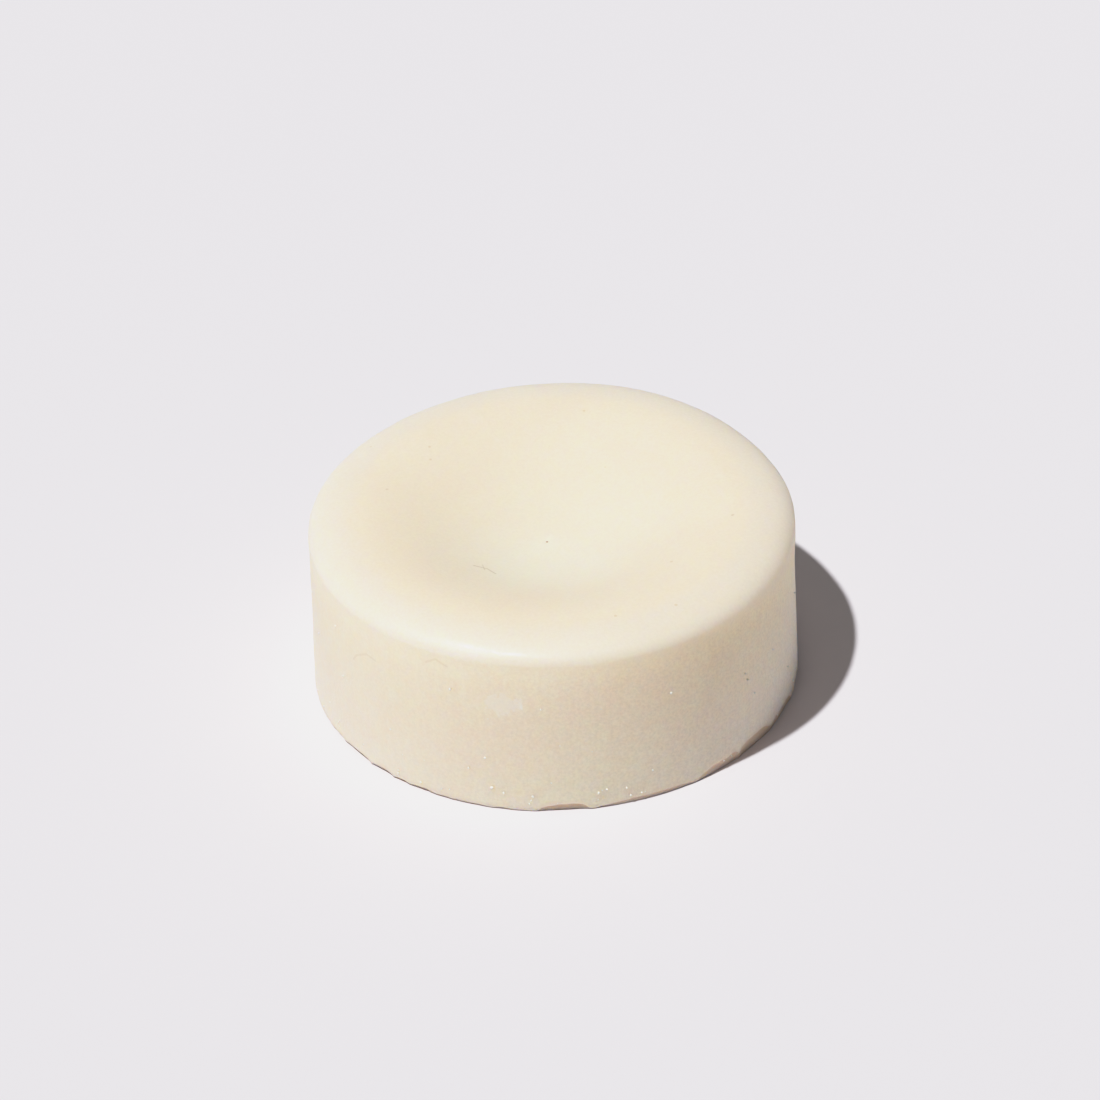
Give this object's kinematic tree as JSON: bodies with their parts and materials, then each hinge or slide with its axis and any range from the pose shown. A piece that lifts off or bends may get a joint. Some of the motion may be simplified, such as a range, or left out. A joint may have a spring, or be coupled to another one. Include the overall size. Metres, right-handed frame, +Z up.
{
  "type": "shaving soap puck",
  "caption": "Round disc of hard shaving soap with a soft rounded shoulder, a shallow lathering dish on top and a trimmed, chipped lower edge.",
  "frame": {"origin": "middle of the flat base, on the surface that the puck stands on", "axes": "+Z up along the puck's axis, out of the lathering dish; -Y towards the side that faces the viewer"},
  "size_m": [0.0651, 0.065, 0.0254],
  "materials": {
    "soap": "satin, slightly translucent cream soap with a fine-grained cut wall"
  },
  "bodies": {
    "root": {"soap_puck": "soap"}
  },
  "joints": []
}
